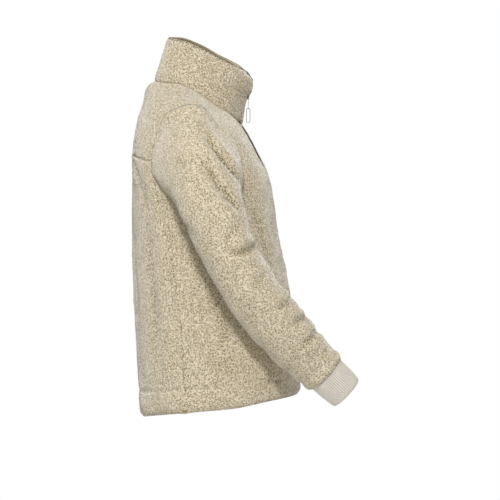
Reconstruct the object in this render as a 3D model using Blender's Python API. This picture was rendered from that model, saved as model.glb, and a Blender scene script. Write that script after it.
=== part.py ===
# A pile fleece jacket with a stand collar and a full front zip, in the form it has when worn.
# Metres, +Z up, the front faces -Y, the wearer's right is at -X. The origin lies between the shoulders.
# One skin is worked out for the whole garment, given a thickness and parted along its seams.

import math
from collections import namedtuple

import bmesh
import bpy
import numpy as np
from mathutils import Matrix, Vector

MM = 0.001

# Cloth
FLEECE_WALL = 0.0040
EDGE_WALL = 0.0014  # the fleece is pressed thin where the zip is sewn in
BESIDE_ZIP_WALL = 0.0030
SEAM_GAP = 0.0003

# Grid of the skin, for one half of the body
UNDER_TAPE = 0.014  # from the front edge to the first column
COLUMNS_FRONT = 7
COLUMNS_SIDE = 9
COLUMNS_BACK = 7
COLUMN_FRONT_SEAM = COLUMNS_FRONT
COLUMN_BACK_SEAM = COLUMNS_FRONT + COLUMNS_SIDE
COLUMN_LAST = COLUMNS_FRONT + COLUMNS_SIDE + COLUMNS_BACK

# A level runs once around the body. half_width is sideways, front and back are its outermost points along Y,
# square is the power of its rounded outline, and edge is half the width left open for the zip. y_ and z_ at
# five places: the front edge, the front side seam, the side, the back side seam and the centre back.
# valley sets the middle of the front back between the two sides, and rows is the grid's rows up to the next.
# All are in millimetres but square and rows.
Level = namedtuple(
    "Level",
    "name half_width front back square edge valley y_fs y_bs z_edge z_fs z_side z_bs z_back rows",
)
LEVELS = (
    Level("hem edge", 190, -202, 114, 2.3, 6, 10, -140, 28, -574, -585, -599, -608, -627, 1),
    Level("hem", 195, -206, 122, 2.3, 6, 11, -140, 29, -565, -576, -589, -598, -612, 1),
    Level("hem stitching", 194.5, -204, 122.2, 2.3, 6, 11, -139, 30, -537, -544, -553, -560, -572, 3),
    Level("hip", 194, -196, 129.5, 2.3, 6, 12, -133, 36, -450, -453, -456, -459, -462, 4),
    Level("waist", 190, -178, 134, 2.4, 6, 13, -117, 50, -345, -343, -340, -338, -336, 3),
    Level("under bust", 186, -158, 134.5, 2.5, 6, 11, -98, 72, -256, -245, -242, -232, -230, 2),
    Level("underarm", 183, -148, 134.5, 2.6, 6, 7, -86, 94, -198, -162, -187, -138, -145, 1),
    Level("yoke seam", 178, -142, 135, 2.8, 6, 4, -87, 97, -168, -136, -130, -107, -98, 1),
    Level("chest", 176, -134, 132, 2.8, 6, 1, -84, 93, -138, -109, -90, -80, -70, 1),
    Level("upper chest", 174, -122, 127, 2.8, 6, 0, -77, 85, -114, -83, -50, -53, -42, 1),
    Level("collar bone", 172, -111, 119, 2.7, 6, -1, -66, 76, -93, -59, -20, -28, -15, 1),
    Level("shoulder point", 170, -101, 111, 2.5, 6, -1, -44, 62, -74, -37, 9, -6, 10, 2),
    Level("mid shoulder", 122, -91, 107, 2.3, 6, -1, -34, 53, -56, -15, 21, 24, 30, 2),
    Level("neck seam", 80, -82, 92, 2.1, 6, 0, -30, 45, -40, 2, 29, 45, 46, 0),
)

# The collar's own levels, in the same columns. Above the slider its two front edges part and turn outwards.
COLLAR_LEVELS = (
    Level("neck seam", 80, -82, 92, 2.1, 6, 0, -30, 45, -40, 2, 29, 45, 46, 2),
    Level("slider", 77, -86.5, 77.5, 2.1, 6, 0, -34, 40, 6, 34, 61, 79, 84, 1),
    Level("parting", 76, -102.5, 71.5, 2.1, 12, 0, -38, 38, 27, 54, 82, 99, 106, 1),
    Level("turn", 75.5, -106, 67.5, 2.1, 21, 0, -40, 38, 50, 75, 102, 117, 122.5, 1),
    Level("top edge", 74, -95, 64.5, 2.1, 30, 0, -42, 40, 69, 92, 116.5, 130, 133, 0),
)

# Sleeve, along the middle of the arm from the upper arm to the cuff seam. side is half its width seen from
# the side and depth is half its width seen from the front. All are in millimetres.
Station = namedtuple("Station", "x y z side depth")
RIGHT_ARM = (
    Station(250, -32, -212, 62, 56),
    Station(254, -48, -251, 59, 56),
    Station(258, -70, -301, 57, 56),
    Station(258, -92, -341, 57, 56),
    Station(256, -114, -376, 57.5, 56),
    Station(246, -162, -433, 57, 55),
    Station(235, -206, -482, 52.5, 51),
    Station(229, -232, -508, 47, 46),
    Station(226, -245, -520, 42.5, 42.5),
)
# The left arm is bent more at the elbow, so its cuff is less far forward.
LEFT_ARM = (
    Station(250, -32, -212, 62, 56),
    Station(255, -39, -253, 59, 56),
    Station(262, -47, -304, 57, 56),
    Station(267, -56, -346, 57, 56),
    Station(268, -74, -388, 57.5, 56),
    Station(262, -115, -436, 57, 55),
    Station(251, -157, -478, 52.5, 51),
    Station(244, -183, -503, 47, 46),
    Station(240, -196, -515, 42.5, 42.5),
)
HEAD_RINGS = 6
ARM_RINGS = 18
HEAD_FULLNESS = 0.8  # how far the sleeve's head stands out sideways before it turns down
HEAD_PULL_TOP = 1.15
HEAD_PULL_END = 0.9

# Cuff
RIGHT_CUFF_END = (216, -291, -562.5)
LEFT_CUFF_END = (228, -240, -557)
CUFF_START_RADIUS = 0.0408
CUFF_END_RADIUS = 0.0372
CUFF_WALL = 0.0030
CUFF_RIBS = 40
RIB_HEIGHT = 0.0011
CUFF_ROWS = 3

# Collar facing
FACING_WALL = 0.0012

# Zip
TAPE_WALL = 0.0008
TEETH_HEIGHT = 0.0025
TEETH_WIDTH = 0.0026
TAPE_TO_MIDDLE = 0.0002
TURNED_FROM = 0.0100  # the teeth face forward until their halves have parted by this much
EDGE_TO_MIDDLE = 0.0060  # from the front edge of the cloth to the middle of the zip

# Slider, in its own directions: across, up the zip and out of the cloth
SLIDER_UP_THE_ZIP = 0.42  # how far up from its collar level to the next
PLATE = (0.0088, 0.0110, 0.0010)
BACK_PLATE = (0.0060, 0.0090, 0.0008)
POST = (0.0016, 0.0030)
POST_UP = 0.0015
BACK_ROOM = 0.0012  # between the tapes and the plate behind them
BAIL_WIRE = 0.0008
BAIL_WIDTH = 0.0012

# Pull: a narrow wire link on the slider, seen edge on from the side, and a wider ring through its lower end
WIRE_GAP = 0.0003
LINK_WIRE = 0.0009
LINK_WIDTH = 0.0042
LINK_LENGTH = 0.0215
RING_WIRE = 0.0011
RING_WIDTH = 0.0082
RING_LENGTH = 0.0300

COLOUR_FLEECE = (0.60, 0.50, 0.34, 1.0)
COLOUR_CUFF = (0.68, 0.60, 0.47, 1.0)
COLOUR_FACING = (0.27, 0.21, 0.12, 1.0)
COLOUR_TAPE = (0.050, 0.050, 0.040, 1.0)
COLOUR_TEETH = (0.030, 0.030, 0.026, 1.0)
COLOUR_SLIDER = (0.030, 0.030, 0.028, 1.0)
COLOUR_STEEL = (0.45, 0.46, 0.47, 1.0)

RIGHT = -1
LEFT = 1
SIDE_NAMES = {RIGHT: "right", LEFT: "left"}


def clear_scene():
    for thing in list(bpy.data.objects):
        bpy.data.objects.remove(thing, do_unlink=True)


def make_material(name, colour, roughness, metallic=0.0):
    material = bpy.data.materials.new(name)
    material.use_nodes = True
    shader = material.node_tree.nodes["Principled BSDF"]
    shader.inputs["Base Color"].default_value = colour
    shader.inputs["Roughness"].default_value = roughness
    shader.inputs["Metallic"].default_value = metallic
    return material


def smooth_through(places, values, at):
    """A curve through values at rising places, read at the places in at. It never overshoots."""
    x = np.asarray(places, dtype=float)
    y = np.asarray(values, dtype=float)
    step = np.diff(x)
    rise = np.diff(y, axis=0) / step.reshape([-1] + [1] * (y.ndim - 1))
    slope = np.zeros_like(y)
    before, after = rise[:-1], rise[1:]
    same_way = before * after > 0
    total = np.where(same_way, before + after, 1.0)
    slope[1:-1] = np.where(same_way, 2.0 * before * after / total, 0.0)
    slope[0] = rise[0]
    slope[-1] = rise[-1]
    at = np.atleast_1d(np.asarray(at, dtype=float))
    k = np.clip(np.searchsorted(x, at, side="right") - 1, 0, len(step) - 1)
    shape = [-1] + [1] * (y.ndim - 1)
    h = step[k].reshape(shape)
    t = ((at - x[k]) / step[k]).reshape(shape)
    return (
        (2 * t**3 - 3 * t**2 + 1) * y[k]
        + (t**3 - 2 * t**2 + t) * h * slope[k]
        + (3 * t**2 - 2 * t**3) * y[k + 1]
        + (t**3 - t**2) * h * slope[k + 1]
    )


def spread_levels(levels):
    """The grid's rows: each level's numbers, eased from one level to the next."""
    places = np.cumsum([0] + [level.rows for level in levels[:-1]])
    in_metres = [Level(level.name, *(MM * np.array(level[1:-1])), level.rows) for level in levels]
    in_metres = [level._replace(square=level.square / MM) for level in in_metres]
    values = np.array([level[1:-1] for level in in_metres])
    rows = smooth_through(places, values, np.arange(places[-1] + 1))
    return [Level("row", *values, 0) for values in rows]


def row_points(level):
    """A row's points for the half at +X, from the front edge to the centre back."""
    middle = (level.front + level.back) / 2
    reach = (level.back - level.front) / 2
    power = 2.0 / level.square

    def turn_at(y):
        share = abs(middle - y) / reach
        quarter = math.acos(min(1.0, share ** (1 / power)))
        return quarter if y < middle else math.pi - quarter

    edge_turn = math.asin((level.edge / level.half_width) ** (1 / power))
    seam_turns = (turn_at(level.y_fs), turn_at(level.y_bs))
    side_turn = (seam_turns[0] + seam_turns[1]) / 2
    stops = (edge_turn, seam_turns[0], side_turn, seam_turns[1], math.pi)
    heights = (level.z_edge, level.z_fs, level.z_side, level.z_bs, level.z_back)
    turns = np.unique(np.concatenate([np.linspace(a, b, 61) for a, b in zip(stops, stops[1:])]))
    cosine = np.cos(turns)
    x = level.half_width * np.abs(np.sin(turns)) ** power
    x[-1] = 0.0
    y = middle - reach * np.sign(cosine) * np.abs(cosine) ** power
    y += level.valley * np.exp(-((x / 0.034) ** 2)) * (cosine > 0)
    z = smooth_through(stops, heights, turns)
    line = np.stack([x, y, z], axis=1)
    lengths = np.concatenate([[0], np.cumsum(np.linalg.norm(np.diff(line, axis=0), axis=1))])
    at_seams = np.interp(seam_turns, turns, lengths)
    front = np.concatenate([[0.0], np.linspace(UNDER_TAPE, at_seams[0], COLUMNS_FRONT)])
    side = np.linspace(at_seams[0], at_seams[1], COLUMNS_SIDE + 1)[1:]
    back = np.linspace(at_seams[1], lengths[-1], COLUMNS_BACK + 1)[1:]
    wanted = np.concatenate([front, side, back])
    return np.stack([np.interp(wanted, lengths, line[:, axis]) for axis in range(3)], axis=1)


class Skin:
    """Points and faces of the garment's outside, each face with the name of its piece."""

    def __init__(self):
        self.points = []
        self.walls = []
        self.faces = []
        self.names = []

    def add_point(self, point, wall=FLEECE_WALL):
        self.points.append(np.array(point, dtype=float))
        self.walls.append(wall)
        return len(self.points) - 1

    def add_face(self, name, corners, side):
        self.faces.append(tuple(corners) if side == RIGHT else tuple(reversed(corners)))
        self.names.append(name)

    def finish(self):
        self.points = np.array(self.points)
        self.walls = np.array(self.walls)
        self.normals = np.zeros_like(self.points)
        for face in self.faces:
            a, b, c, d = self.points[list(face)]
            self.normals[list(face)] += np.cross(c - a, d - b)
        self.normals /= np.linalg.norm(self.normals, axis=1)[:, None]
        self.inside = self.points - self.normals * self.walls[:, None]


def wall_at(column):
    return {0: EDGE_WALL, 1: BESIDE_ZIP_WALL}.get(column, FLEECE_WALL)


def level_row(levels, name):
    """The grid row on which a named level lies."""
    names = [level.name for level in levels]
    return sum(level.rows for level in levels[: names.index(name)])


ROW_UNDERARM = level_row(LEVELS, "underarm")
ROW_YOKE = level_row(LEVELS, "yoke seam")
ROW_SHOULDER = level_row(LEVELS, "shoulder point")
ROW_NECK = level_row(LEVELS, "neck seam")


def body_piece(row, column, side):
    """The name of the sewn piece that holds a cell of the body's grid."""
    if COLUMN_FRONT_SEAM <= column < COLUMN_BACK_SEAM and row < ROW_UNDERARM:
        return "side_panel_" + SIDE_NAMES[side]
    shoulder_column = COLUMN_FRONT_SEAM + COLUMNS_SIDE // 2
    if column < shoulder_column:
        return "front_" + SIDE_NAMES[side]
    return "back_yoke" if row >= ROW_YOKE else "back"


def in_armhole(row, column):
    return COLUMN_FRONT_SEAM < column < COLUMN_BACK_SEAM and ROW_UNDERARM < row < ROW_SHOULDER


def armhole_cell(row, column):
    return COLUMN_FRONT_SEAM <= column < COLUMN_BACK_SEAM and ROW_UNDERARM <= row < ROW_SHOULDER


def add_body_half(skin, side, centre_back):
    """Adds one half of body and collar. Returns the grid of point numbers."""
    rows = [row_points(level) for level in spread_levels(LEVELS)]
    rows += [row_points(level) for level in spread_levels(COLLAR_LEVELS)[1:]]
    grid = []
    for number, points in enumerate(rows):
        line = []
        for column, point in enumerate(points):
            if in_armhole(number, column):
                line.append(None)
                continue
            if column == COLUMN_LAST and centre_back is not None:
                line.append(centre_back[number])
                continue
            line.append(skin.add_point(point * (side, 1, 1), wall_at(column)))
        grid.append(line)
    for row in range(len(grid) - 1):
        for column in range(COLUMN_LAST):
            if armhole_cell(row, column):
                continue
            corners = (
                grid[row][column],
                grid[row + 1][column],
                grid[row + 1][column + 1],
                grid[row][column + 1],
            )
            name = "collar" if row >= ROW_NECK else body_piece(row, column, side)
            skin.add_face(name, corners, side)
    return grid


def armhole_loop(grid):
    """Point numbers around the armhole: over the top to the back, down, under the arm and up the front."""
    top = [grid[ROW_SHOULDER][c] for c in range(COLUMN_FRONT_SEAM, COLUMN_BACK_SEAM)]
    back = [grid[r][COLUMN_BACK_SEAM] for r in range(ROW_SHOULDER, ROW_UNDERARM, -1)]
    under = [grid[ROW_UNDERARM][c] for c in range(COLUMN_BACK_SEAM, COLUMN_FRONT_SEAM, -1)]
    front = [grid[r][COLUMN_FRONT_SEAM] for r in range(ROW_UNDERARM, ROW_SHOULDER)]
    return top + back + under + front


def unit(vector):
    return vector / np.linalg.norm(vector)


def held_arm(side):
    """The stations along the middle of an arm, in metres, and the end of its cuff."""
    stations, cuff_end = (RIGHT_ARM, RIGHT_CUFF_END) if side == RIGHT else (LEFT_ARM, LEFT_CUFF_END)
    table = MM * np.array(stations)
    table[:, 0] *= side
    return table, MM * np.array(cuff_end) * (side, 1, 1)


def arm_frames(side):
    """Centre, axis, outward and backward directions and both half widths of each ring along the arm."""
    table, cuff_end = held_arm(side)
    lengths = np.concatenate([[0], np.cumsum(np.linalg.norm(np.diff(table[:, :3], axis=0), axis=1))])
    even = np.linspace(0, lengths[-1], ARM_RINGS + 1)
    rings = smooth_through(lengths, table, even)
    centres = rings[:, :3]
    axes = np.gradient(centres, axis=0)
    axes[-1] = cuff_end - centres[-1]
    frames = []
    for centre, axis, half_side, half_depth in zip(centres, axes, rings[:, 3], rings[:, 4]):
        axis = unit(axis)
        outward = np.array([side, 0.0, 0.0])
        outward = unit(outward - axis * outward.dot(axis))
        backward = np.cross(axis, outward) * -side
        if backward[1] < 0:
            backward = -backward
        frames.append((centre, axis, outward, backward, half_side, half_depth))
    return frames


# A sleeve's folds, each a trough (or a ridge, where depth is below zero) between two places. along is the
# share of the way from the upper arm to the cuff. turn is in degrees: 0 outside, 90 back, 180 inside and
# 270 front.
Fold = namedtuple("Fold", "along turn to_along to_turn width depth")
SLEEVE_FOLDS = (
    Fold(0.10, 300, 0.24, 240, 0.020, 0.0040),
    Fold(0.20, 330, 0.34, 250, 0.022, 0.0060),
    Fold(0.33, 320, 0.38, 240, 0.018, -0.0035),
    Fold(0.44, 310, 0.50, 235, 0.018, 0.0050),
    Fold(0.62, 310, 0.66, 240, 0.016, 0.0040),
    Fold(0.76, 315, 0.80, 240, 0.016, 0.0040),
    Fold(0.30, 150, 0.40, 90, 0.026, 0.0030),
    Fold(0.70, 40, 0.78, 120, 0.026, 0.0030),
)


def fold_depth(along, turn, length, radius):
    """How far the surface is set in by all the folds at one place of a sleeve."""
    total = 0.0
    for fold in SLEEVE_FOLDS:
        span_along = (fold.to_along - fold.along) * length
        span_turn = math.radians(fold.to_turn - fold.turn) * radius
        away = math.radians((turn - fold.turn + 180) % 360 - 180) * radius
        here = (along - fold.along) * length
        share = (here * span_along + away * span_turn) / (span_along**2 + span_turn**2)
        share_kept = min(1.0, max(0.0, share))
        off = math.hypot(here - share_kept * span_along, away - share_kept * span_turn)
        fade = math.sin(math.pi * (0.12 + 0.76 * share_kept))
        total += fold.depth * fade * math.exp(-((off / fold.width) ** 2))
    return total


def add_sleeve(skin, side, loop):
    """Adds a sleeve from the armhole to the cuff seam."""
    start = np.array([skin.points[number] for number in loop])
    steps = np.linalg.norm(np.diff(np.vstack([start, start[:1]]), axis=0), axis=1)
    around = np.concatenate([[0], np.cumsum(steps)])
    top = COLUMNS_SIDE / 2
    bottom = COLUMNS_SIDE + (ROW_SHOULDER - ROW_UNDERARM) + COLUMNS_SIDE / 2
    whole = around[-1]
    places = np.arange(len(loop) + 1)
    top_at = np.interp(top, places, around)
    bottom_at = np.interp(bottom, places, around)
    turns = []
    for here in around[:-1]:
        if top_at <= here <= bottom_at:
            turns.append(180.0 * (here - top_at) / (bottom_at - top_at))
        else:
            onward = here - bottom_at if here > bottom_at else here + whole - bottom_at
            turns.append(180.0 + 180.0 * onward / (whole - bottom_at + top_at))
    frames = arm_frames(side)
    length = sum(np.linalg.norm(b[0] - a[0]) for a, b in zip(frames, frames[1:]))

    def ring_point(frame, turn, along):
        centre, _, outward, backward, half_side, half_depth = frame
        angle = math.radians(turn)
        set_in = fold_depth(along, turn, length, half_side)
        return (
            centre
            + outward * math.cos(angle) * (half_depth - set_in)
            + backward * math.sin(angle) * (half_side - set_in)
        )

    first = np.array([ring_point(frames[0], turn, 0.0) for turn in turns])
    rings = [list(loop)]
    for number in range(1, HEAD_RINGS):
        t = number / HEAD_RINGS
        ring = []
        for begin, end in zip(start, first):
            span = np.linalg.norm(end - begin)
            leave = unit(np.array([side * HEAD_FULLNESS, 0, 0]) + unit(end - begin)) * span * HEAD_PULL_TOP
            arrive = frames[0][1] * span * HEAD_PULL_END
            point = (
                (2 * t**3 - 3 * t**2 + 1) * begin
                + (t**3 - 2 * t**2 + t) * leave
                + (3 * t**2 - 2 * t**3) * end
                + (t**3 - t**2) * arrive
            )
            ring.append(skin.add_point(point))
        rings.append(ring)
    for number, frame in enumerate(frames):
        along = number / ARM_RINGS
        rings.append([skin.add_point(ring_point(frame, turn, along)) for turn in turns])
    count = len(loop)
    for near, far in zip(rings, rings[1:]):
        for k in range(count):
            corners = (near[k], near[(k + 1) % count], far[(k + 1) % count], far[k])
            skin.add_face("sleeve_" + SIDE_NAMES[side], corners, side)


def solid_object(name, points, triangles, material):
    mesh = bpy.data.meshes.new(name)
    mesh.from_pydata([tuple(point) for point in points], [], triangles)
    mesh.validate()
    mesh.materials.append(material)
    mesh.shade_smooth()
    mesh.set_sharp_from_angle(angle=math.radians(40))
    thing = bpy.data.objects.new(name, mesh)
    bpy.context.scene.collection.objects.link(thing)
    return thing


def cloth_solid(name, faces, outside, inside, material, gap=SEAM_GAP):
    """A closed wall between two skins that share their faces, set back by half the gap along its edges."""
    numbers = sorted({corner for face in faces for corner in face})
    place = {number: at for at, number in enumerate(numbers)}
    outer = outside[numbers].copy()
    inner = inside[numbers].copy()
    edges = {}
    for face in faces:
        a, b, c, d = (outer[place[corner]] for corner in face)
        normal = unit(np.cross(c - a, d - b))
        for begin, end in zip(face, face[1:] + face[:1]):
            if (end, begin) in edges:
                del edges[end, begin]
            else:
                edges[begin, end] = normal
    inward = {}
    for (begin, end), normal in edges.items():
        along = unit(outside[end] - outside[begin])
        direction = np.cross(normal, along)
        inward.setdefault(begin, []).append(direction)
        inward.setdefault(end, []).append(direction)
    for number, directions in inward.items():
        both = sum(directions)
        share = max(0.4, 1 + directions[0].dot(directions[-1])) if len(directions) > 1 else 1.0
        shift = both / share * gap / 2
        outer[place[number]] += shift
        inner[place[number]] += shift
    count = len(numbers)
    triangles = []
    for face in faces:
        a, b, c, d = (place[corner] for corner in face)
        for half in ((a, b, c), (a, c, d)):
            triangles.append(half)
            triangles.append(tuple(corner + count for corner in reversed(half)))
    for begin, end in edges:
        a, b = place[begin], place[end]
        if begin < end:
            triangles.append((b, a, b + count))
            triangles.append((a, a + count, b + count))
        else:
            triangles.append((b, a, a + count))
            triangles.append((b, a + count, b + count))
    return solid_object(name, np.concatenate([outer, inner]), triangles, material)


def make_panels(skin, material):
    for name in sorted(set(skin.names)):
        faces = [face for face, piece in zip(skin.faces, skin.names) if piece == name]
        cloth_solid(name, faces, skin.points, skin.inside, material)


def make_facing(skin, halves, material):
    """The collar's smooth lining on its inside, from one zip tape round to the other."""
    outside = skin.inside - skin.normals * SEAM_GAP
    inside = outside - skin.normals * FACING_WALL
    faces = []
    for side, grid in halves.items():
        for row in range(ROW_NECK, len(grid) - 1):
            for column in range(1, COLUMN_LAST):
                corners = (
                    grid[row][column],
                    grid[row + 1][column],
                    grid[row + 1][column + 1],
                    grid[row][column + 1],
                )
                faces.append(corners if side == RIGHT else tuple(reversed(corners)))
    cloth_solid("collar_facing", faces, outside, inside, material, gap=4 * SEAM_GAP)


def strip_solid(name, sections, material):
    """A closed bar through sections that all have the same number of corners."""
    corners = len(sections[0])
    points = [point for section in sections for point in section]
    triangles = []
    for row in range(len(sections) - 1):
        for k in range(corners):
            a = row * corners + k
            b = row * corners + (k + 1) % corners
            triangles.append((a, b, b + corners))
            triangles.append((a, b + corners, a + corners))
    last = (len(sections) - 1) * corners
    for k in range(1, corners - 1):
        triangles.append((0, k + 1, k))
        triangles.append((last, last + k, last + k + 1))
    return solid_object(name, points, triangles, material)


def make_zip_half(skin, grid, side, tape_material, teeth_material):
    """One side's tape, from under the cloth up to the middle, and the teeth along it. Returns the points of
    the tape's edge under the teeth."""
    tape_out = []
    tape_in = []
    teeth = []
    for line in grid:
        edge, beside = line[0], line[1]
        at_edge = skin.inside[edge] - skin.normals[edge] * SEAM_GAP
        under = skin.inside[beside] - skin.normals[beside] * SEAM_GAP
        out = skin.normals[edge]
        across = at_edge - under
        across = unit(across - out * across.dot(out))
        parted = abs(skin.points[edge][0]) - EDGE_TO_MIDDLE
        reach = (abs(at_edge[0]) - TAPE_TO_MIDDLE - parted) / abs(across[0])
        tip = at_edge + across * reach
        tape_out += [tip, at_edge, under]
        under_in = under - skin.normals[beside] * TAPE_WALL
        tape_in += [tip - out * TAPE_WALL, at_edge - out * TAPE_WALL, under_in]
        up = unit(out * (min(1.0, parted / TURNED_FROM), 1, 1))
        root = tip - across * TEETH_WIDTH + out * SEAM_GAP
        crown = tip + out * SEAM_GAP
        teeth.append([root + up * TEETH_HEIGHT, crown + up * TEETH_HEIGHT, crown, root])
    faces = []
    for row in range(len(grid) - 1):
        for column in range(2):
            a = row * 3 + column
            faces.append((a, a + 3, a + 4, a + 1) if side == RIGHT else (a + 1, a + 4, a + 3, a))
    if side == LEFT:
        teeth = [list(reversed(section)) for section in teeth]
    name = SIDE_NAMES[side]
    cloth_solid("zip_tape_" + name, faces, np.array(tape_out), np.array(tape_in), tape_material, gap=0.0)
    strip_solid("zip_teeth_" + name, teeth, teeth_material)
    return tape_out[::3]


def make_cuff(side, material):
    """A knitted cuff whose ribs run along the arm, over a plain inside."""
    table, end = held_arm(side)
    start = table[-1, :3]
    axis = unit(end - start)
    start = start + axis * SEAM_GAP
    outward = unit(np.array([side, 0.0, 0.0]) - axis * axis[0] * side)
    backward = np.cross(axis, outward)
    count = CUFF_RIBS * 2
    outer = []
    inner = []
    for row in range(CUFF_ROWS + 1):
        t = row / CUFF_ROWS
        radius = CUFF_START_RADIUS + (CUFF_END_RADIUS - CUFF_START_RADIUS) * t
        centre = start + (end - start) * t
        for k in range(count):
            angle = 2 * math.pi * k / count
            way = outward * math.cos(angle) + backward * math.sin(angle)
            rib = RIB_HEIGHT if k % 2 else 0.0
            outer.append(centre + way * (radius - rib))
            inner.append(centre + way * (radius - CUFF_WALL))
    faces = []
    for row in range(CUFF_ROWS):
        for k in range(count):
            a = row * count + k
            b = row * count + (k + 1) % count
            faces.append((a, a + count, b + count, b))
    outer, inner = np.array(outer), np.array(inner)
    middle = faces[0]
    facing = np.cross(outer[middle[2]] - outer[middle[0]], outer[middle[3]] - outer[middle[1]])
    if facing.dot(outer[middle[0]] - start) < 0:
        faces = [tuple(reversed(face)) for face in faces]
    cloth_solid("cuff_" + SIDE_NAMES[side], faces, outer, inner, material, gap=0.0)


def box(name, size, centre):
    """A cutter or an added block, left out of the result by itself."""
    mesh = bpy.data.meshes.new(name)
    shape = bmesh.new()
    bmesh.ops.create_cube(shape, size=1.0)
    bmesh.ops.scale(shape, vec=Vector(size), verts=shape.verts)
    bmesh.ops.translate(shape, vec=Vector(centre), verts=shape.verts)
    shape.to_mesh(mesh)
    shape.free()
    thing = bpy.data.objects.new(name, mesh)
    bpy.context.scene.collection.objects.link(thing)
    return thing


def add_block(thing, block, operation="UNION"):
    """Joins a block to a thing, or cuts it out of it."""
    block.parent = thing
    block.hide_render = True
    block.display_type = "WIRE"
    joining = thing.modifiers.new(block.name, "BOOLEAN")
    joining.operation = operation
    joining.object = block


def make_slider(tips, material):
    """The slider on its zip, whose tape edges are in tips. Returns the middle of the hinge under its bail."""
    row = ROW_NECK + level_row(COLLAR_LEVELS, "slider")
    low = Vector(tips[row] * (0, 1, 1))
    high = Vector(tips[row + 1] * (0, 1, 1))
    up = (high - low).normalized()
    out = up.cross(Vector((1, 0, 0)))
    out = out if out.y < 0 else -out
    across = up.cross(out)
    place = Matrix((across, up, out)).transposed().to_4x4()
    place.translation = low.lerp(high, SLIDER_UP_THE_ZIP)
    front = TEETH_HEIGHT + 3 * SEAM_GAP
    back = -(TAPE_WALL + BACK_ROOM)
    slider = box("zip_slider", PLATE, (0, 0, front + PLATE[2] / 2))
    slider.data.materials.append(material)
    slider.matrix_world = place
    back_plate = box("back_plate", BACK_PLATE, (0, 0, back - BACK_PLATE[2] / 2))
    post_size = (POST[0], POST[1], front - back + PLATE[2])
    post = box("post", post_size, (0, POST_UP, (front + back) / 2))
    pin_room = LINK_WIRE / 2 + WIRE_GAP
    hinge_out = front + PLATE[2] + pin_room
    bail_length = 2 * (pin_room + BAIL_WIRE)
    bail_height = 2 * pin_room + BAIL_WIRE
    bail_top = front + PLATE[2] + bail_height
    bail_rise = bail_height + PLATE[2] / 2
    bail = box("bail", (BAIL_WIDTH, bail_length, bail_rise), (0, 0, bail_top - bail_rise / 2))
    hole_size = (2 * BAIL_WIDTH, 2 * pin_room, 2 * pin_room)
    hole = box("bail_hole", hole_size, (0, 0, hinge_out))
    add_block(slider, back_plate)
    add_block(slider, post)
    add_block(slider, bail)
    add_block(slider, hole, "DIFFERENCE")
    return place @ Vector((0, 0, hinge_out))


def wire_loop(name, width, length, wire, flat_to, top, material):
    """A long ring of wire that hangs down from top above its origin. flat_to is the axis it is flat to."""
    curve = bpy.data.curves.new(name, "CURVE")
    curve.dimensions = "3D"
    curve.bevel_depth = wire / 2
    curve.bevel_resolution = 2
    radius = (width - wire) / 2
    straight = length - wire - 2 * radius
    steps = 9
    path = []
    for end, middle in ((0, top - wire / 2 - radius), (1, top - wire / 2 - radius - straight)):
        for k in range(steps):
            angle = math.pi * (end + k / (steps - 1))
            path.append((radius * math.cos(angle), middle + radius * math.sin(angle)))
    spline = curve.splines.new("POLY")
    spline.points.add(len(path) - 1)
    for point, (aside, height) in zip(spline.points, path):
        point.co = (aside, 0, height, 1) if flat_to == "Y" else (0, aside, height, 1)
    spline.use_cyclic_u = True
    curve.materials.append(material)
    thing = bpy.data.objects.new(name, curve)
    bpy.context.scene.collection.objects.link(thing)
    return thing


def make_pull(hinge, material):
    """The link and the ring, both hanging straight down from the slider."""
    link = wire_loop("pull_link", LINK_WIDTH, LINK_LENGTH, LINK_WIRE, "Y", LINK_WIRE / 2, material)
    link.location = hinge
    ring_top = LINK_WIRE / 2 + WIRE_GAP + RING_WIRE
    ring = wire_loop("pull_ring", RING_WIDTH, RING_LENGTH, RING_WIRE, "X", ring_top, material)
    ring.parent = link
    ring.location = (0, 0, -(LINK_LENGTH - LINK_WIRE))


def main():
    clear_scene()
    fleece = make_material("fleece", COLOUR_FLEECE, 0.95)
    rib = make_material("rib_knit", COLOUR_CUFF, 0.9)
    facing = make_material("facing", COLOUR_FACING, 0.9)
    tape = make_material("zip_tape", COLOUR_TAPE, 0.85)
    teeth = make_material("zip_teeth", COLOUR_TEETH, 0.5)
    dark_metal = make_material("slider", COLOUR_SLIDER, 0.45, 0.8)
    steel = make_material("pull", COLOUR_STEEL, 0.3, 1.0)
    skin = Skin()
    right = add_body_half(skin, RIGHT, None)
    left = add_body_half(skin, LEFT, [line[COLUMN_LAST] for line in right])
    halves = {RIGHT: right, LEFT: left}
    for side, grid in halves.items():
        add_sleeve(skin, side, armhole_loop(grid))
    skin.finish()
    make_panels(skin, fleece)
    make_facing(skin, halves, facing)
    for side, grid in halves.items():
        tips = make_zip_half(skin, grid, side, tape, teeth)
        make_cuff(side, rib)
    make_pull(make_slider(tips, dark_metal), steel)


main()
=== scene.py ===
import math

import bmesh
import bpy
import numpy as np
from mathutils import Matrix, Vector, kdtree


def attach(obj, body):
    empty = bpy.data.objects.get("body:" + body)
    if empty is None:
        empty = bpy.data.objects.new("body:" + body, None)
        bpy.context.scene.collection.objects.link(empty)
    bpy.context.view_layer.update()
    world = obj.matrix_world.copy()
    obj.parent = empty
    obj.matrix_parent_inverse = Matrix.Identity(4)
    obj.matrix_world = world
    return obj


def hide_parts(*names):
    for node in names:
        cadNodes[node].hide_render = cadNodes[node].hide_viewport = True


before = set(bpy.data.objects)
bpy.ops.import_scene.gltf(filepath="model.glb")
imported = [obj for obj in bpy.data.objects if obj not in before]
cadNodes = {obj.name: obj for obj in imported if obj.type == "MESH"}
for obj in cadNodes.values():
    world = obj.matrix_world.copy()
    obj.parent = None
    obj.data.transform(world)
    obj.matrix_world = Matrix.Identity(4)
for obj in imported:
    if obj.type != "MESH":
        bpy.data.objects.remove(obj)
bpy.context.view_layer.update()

print("frame loaded:", len(cadNodes), "nodes")


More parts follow.
